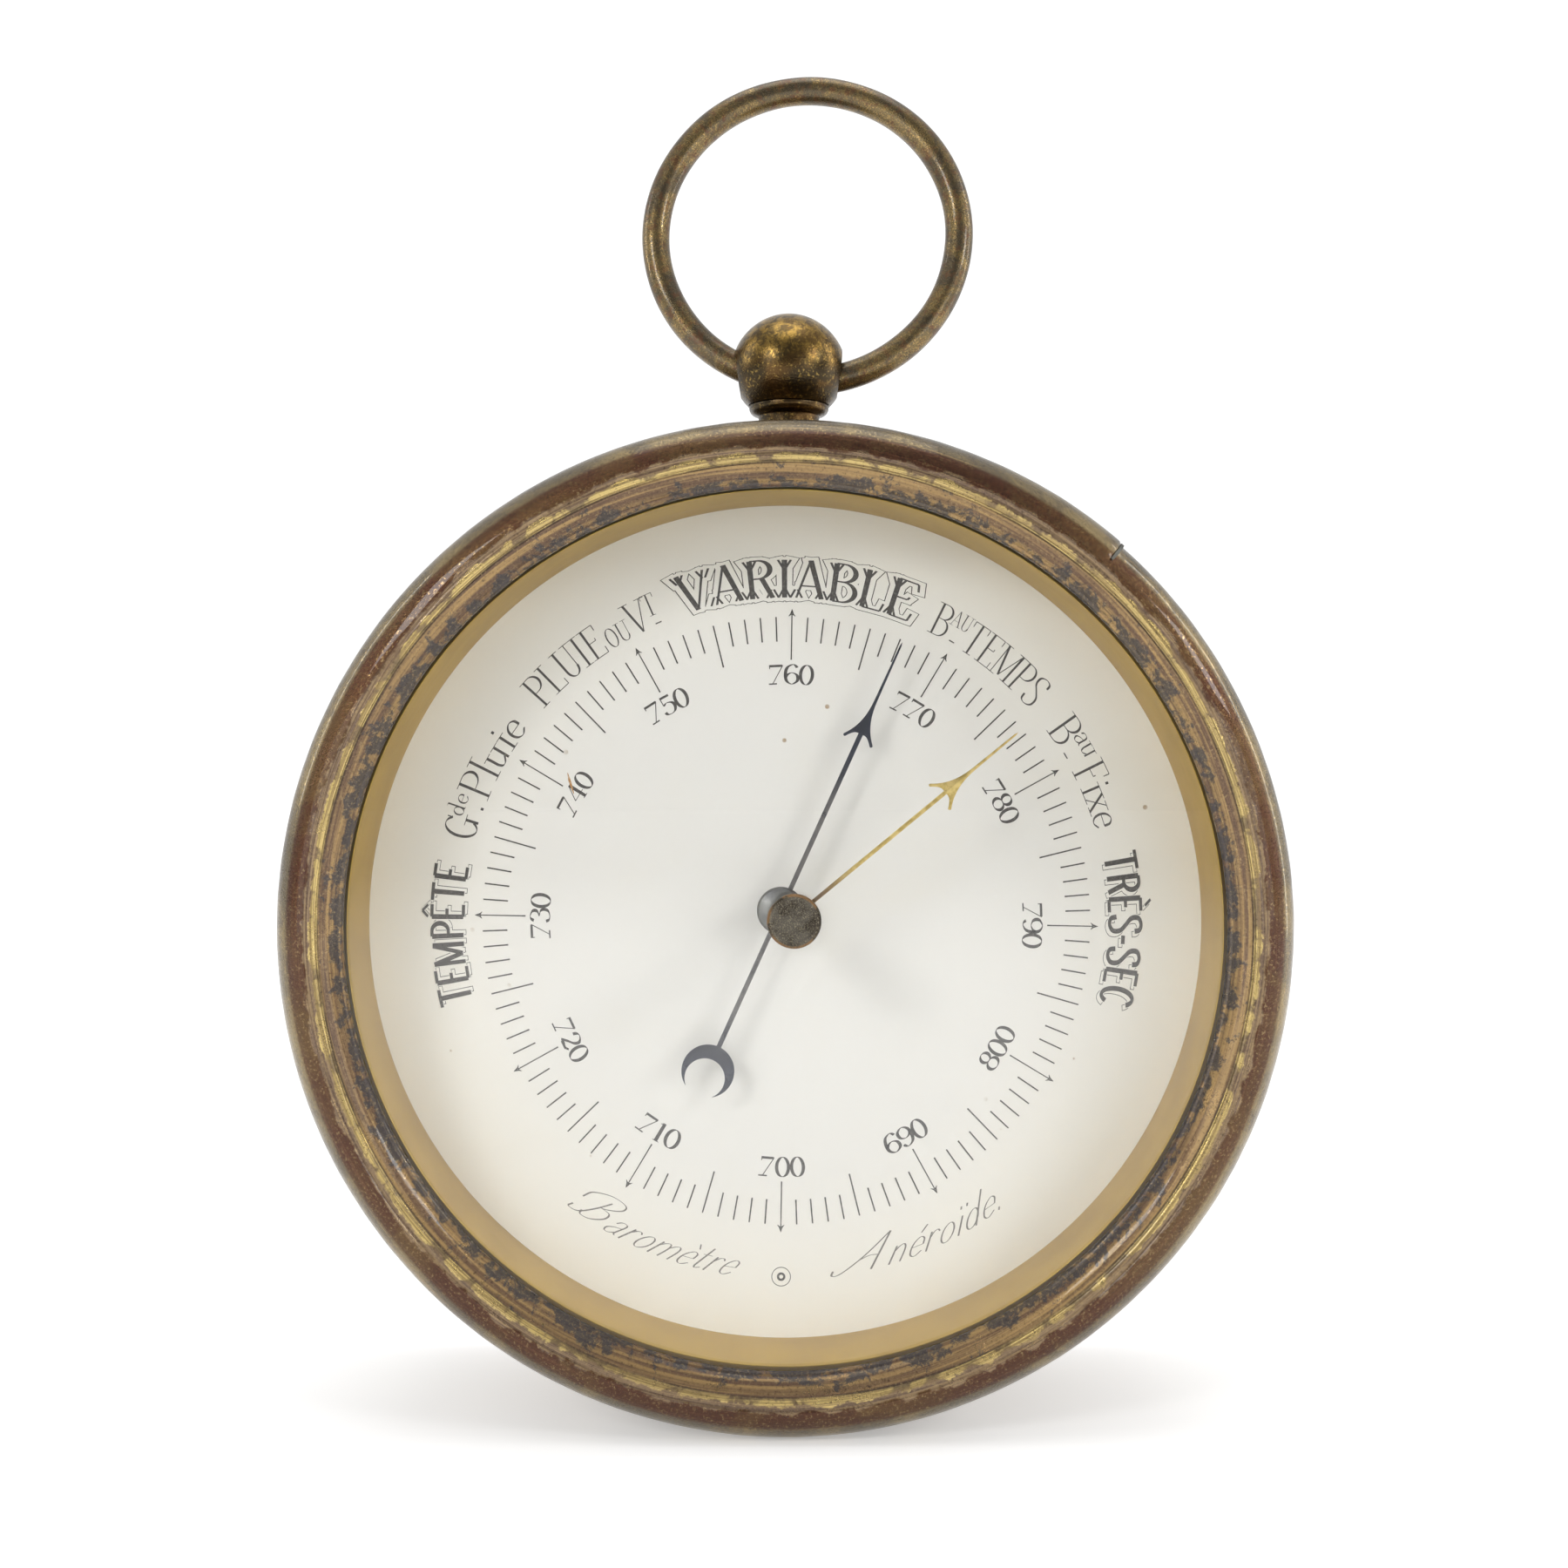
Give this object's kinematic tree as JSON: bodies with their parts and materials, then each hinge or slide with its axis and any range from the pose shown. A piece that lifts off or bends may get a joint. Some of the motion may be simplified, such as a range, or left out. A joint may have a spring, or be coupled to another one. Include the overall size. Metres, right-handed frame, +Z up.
{
  "type": "aneroid barometer",
  "caption": "Round wall-hung aneroid barometer: drum case, stepped bezel, glass, card dial, pointer and setting hand over a capsule movement, with a pendant ball and hanging ring.",
  "frame": {"origin": "centre of the flat case back", "axes": "+Z up towards the hanging ring, dial faces -Y, +X to the right of the dial"},
  "size_m": [0.13, 0.0471, 0.1824],
  "materials": {
    "drum_brass": "aged, dark patina",
    "back_brass": "dull, lightly tarnished",
    "bezel_brass": "aged, worn bright on the step, dark in the grooves",
    "clear_glass": "clear, polished",
    "gilt_brass": "satin gilt",
    "dial_card": "off-white printed card",
    "movement_brass": "satin lacquered",
    "capsule_metal": "nickel silver, pressed",
    "movement_steel": "fine ground",
    "spring_steel": "tempered blue",
    "screw_steel": "darkened, slotted",
    "blued_steel": "blued, nearly black",
    "bright_steel": "polished",
    "setting_brass": "satin",
    "knob_brass": "dark brown patina",
    "pendant_brass": "mottled, worn gold and dark patina",
    "ring_brass": "dark olive brown patina with worn gold"
  },
  "bodies": {
    "case": {"case_drum": "drum_brass", "case_back": "back_brass", "movement_screws": "screw_steel", "bezel": "bezel_brass", "glass": "clear_glass", "sight_ring": "gilt_brass", "glass_retaining_ring": "gilt_brass", "dial_card": "dial_card", "dial_plate": "movement_brass", "dial_pillars": "movement_brass", "dial_pillar_screws": "screw_steel", "base_plate": "movement_brass", "movement_spacers": "movement_brass", "capsule_rear_shell": "capsule_metal", "capsule_front_shell": "capsule_metal", "capsule_nut": "movement_brass", "spring_bridge": "movement_brass", "bridge_screws": "screw_steel", "mainspring": "spring_steel", "mainspring_screws": "screw_steel", "rocker_bracket": "movement_brass", "rocker_pivot_screws": "screw_steel", "rocker_bracket_screws": "screw_steel", "hairspring": "spring_steel", "hairspring_stud": "movement_brass", "arbor_rear_bar": "movement_brass", "arbor_front_bar": "movement_brass", "arbor_posts": "movement_brass", "arbor_spacers": "movement_brass", "arbor_screws": "screw_steel", "pendant": "pendant_brass", "pendant_nut": "movement_brass"},
    "ring": {"hanging_ring": "ring_brass"},
    "setting": {"setting_hand": "setting_brass", "setting_collet": "setting_brass", "setting_spindle": "setting_brass", "setting_washer": "setting_brass", "setting_knob": "knob_brass"},
    "pointer_assembly": {"pointer": "blued_steel", "pointer_boss": "bright_steel", "pointer_arbor": "movement_steel"},
    "rocker_assembly": {"rocker": "movement_steel", "chain": "movement_steel"},
    "lever": {"main_lever": "movement_steel", "lever_screws": "screw_steel", "link_pin": "movement_steel"},
    "link_rod": {"link": "movement_steel"},
    "capsule_lift": {"capsule_post": "movement_steel", "knife_edge_pin": "movement_steel"},
    "adjuster": {"adjusting_screw": "screw_steel"}
  },
  "joints": [
    {"name": "ring_swing", "type": "hinge", "parent": "case", "child": "ring", "pos_m": [0.0005, -0.022, 0.0748], "axis": [1, 0, 0], "range_deg": [-82, 97]},
    {"name": "setting_turn", "type": "hinge", "parent": "case", "child": "setting", "pos_m": [0.0011, -0.0405, 0.0012], "axis": [0, 1, 0], "continuous": true},
    {"name": "pointer_turn", "type": "hinge", "parent": "case", "child": "pointer_assembly", "pos_m": [-0.0006, -0.025, 0.0017], "axis": [0, 1, 0], "range_deg": [-231.3, 98.7], "stiffness_Nm_per_rad": 0.0002, "deforming": ["hairspring"]},
    {"name": "rocker_turn", "type": "hinge", "parent": "case", "child": "rocker_assembly", "pos_m": [0.03, -0.0105, -0.0075], "axis": [0, 0, 1], "range_deg": [-18.6, 8], "deforming": ["chain"]},
    {"name": "lever_turn", "type": "hinge", "parent": "case", "child": "lever", "pos_m": [-0.031, -0.0202, -0.016], "axis": [0, 0, 1], "range_deg": [-1.2, 0.5], "deforming": ["mainspring"]},
    {"name": "link_swing", "type": "hinge", "parent": "lever", "child": "link_rod", "pos_m": [0.034, -0.0235, -0.0141], "axis": [0, 0, 1], "range_deg": [-0.9, 2.1]},
    {"name": "capsule_breathe", "type": "slide", "parent": "case", "child": "capsule_lift", "axis": [0, 1, 0], "range_m": [-0.000456, 0.0001946], "deforming": ["capsule_front_shell"]},
    {"name": "adjuster_turn", "type": "hinge", "parent": "case", "child": "adjuster", "pos_m": [0.022, -0.003, -0.016], "axis": [0, 1, 0], "range_deg": [-360, 360]}
  ],
  "couplings": [
    {"joint": "lever_turn", "follows": "capsule_breathe", "rad_per_m": 43.54},
    {"joint": "link_swing", "follows": "capsule_breathe", "rad_per_m": -78.5},
    {"joint": "rocker_turn", "follows": "capsule_breathe", "rad_per_m": 707.96},
    {"joint": "pointer_turn", "follows": "capsule_breathe", "rad_per_m": 8849.6}
  ]
}
